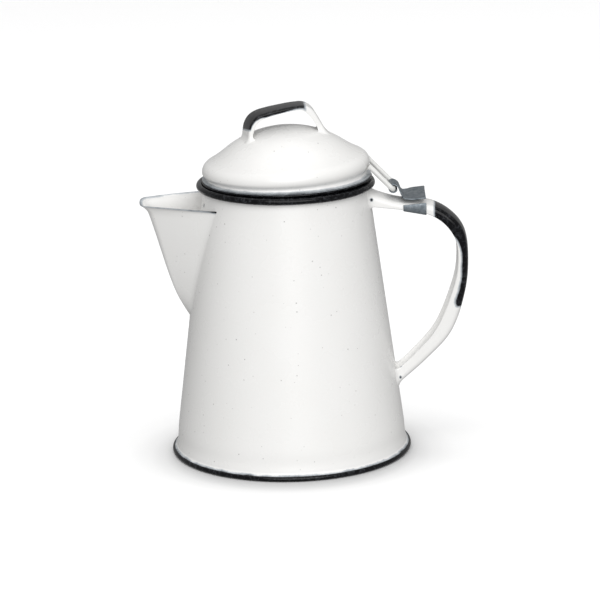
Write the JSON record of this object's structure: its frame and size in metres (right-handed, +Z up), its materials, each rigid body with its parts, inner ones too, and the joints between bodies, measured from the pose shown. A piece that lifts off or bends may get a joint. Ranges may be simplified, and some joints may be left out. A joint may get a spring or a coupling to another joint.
{
  "type": "coffee percolator",
  "caption": "Conical white speckled enamel camp coffee pot with black trim, beak spout, strap handle, hinged domed lid and a lift-out percolator pump.",
  "frame": {"origin": "on the pot's axis in the plane that the foot hem stands on", "axes": "+Z up along the pot's axis, -X towards the spout, +X towards the handle"},
  "size_m": [0.2033, 0.15, 0.2187],
  "materials": {
    "white_enamel": "glossy white vitreous enamel with sparse fine grey flecks",
    "black_enamel": "glossy black vitreous enamel, blue-grey where it runs thin",
    "galvanised_sheet": "dull mottled galvanised sheet",
    "pump_aluminium": "spun aluminium, lightly brushed"
  },
  "bodies": {
    "pot": {"body_shell": "white_enamel", "rim_bead": "black_enamel", "base_pan": "white_enamel", "foot_hem": "black_enamel", "spout_shell": "white_enamel", "handle_strap": "white_enamel", "hinge_clip": "galvanised_sheet"},
    "lid": {"lid_dome": "white_enamel", "lid_skirt": "white_enamel", "lid_handle": "white_enamel", "hinge_loop": "white_enamel"},
    "pump": {"stem_foot": "pump_aluminium", "valve_seat": "pump_aluminium", "pump_stem": "pump_aluminium", "stem_collar": "pump_aluminium"},
    "valve": {"pump_valve": "pump_aluminium"},
    "basket": {"coffee_basket": "pump_aluminium", "basket_sleeve": "pump_aluminium"},
    "spreader": {"spreader_lid": "pump_aluminium", "spreader_collar": "pump_aluminium"}
  },
  "joints": [
    {"name": "lid_hinge", "type": "hinge", "parent": "pot", "child": "lid", "pos_m": [0.066, 0, 0.166], "axis": [0, 1, 0], "range_deg": [0, 100]},
    {"name": "pump_lift", "type": "slide", "parent": "pot", "child": "pump", "axis": [0, 0, 1], "range_m": [0, 0.01]},
    {"name": "basket_lift", "type": "slide", "parent": "pump", "child": "basket", "axis": [0, 0, 1], "range_m": [0, 0.01]},
    {"name": "spreader_lift", "type": "slide", "parent": "basket", "child": "spreader", "axis": [0, 0, 1], "range_m": [0, 0.01]},
    {"name": "valve_lift", "type": "slide", "parent": "pump", "child": "valve", "axis": [0, 0, 1], "range_m": [0, 0.003]}
  ]
}
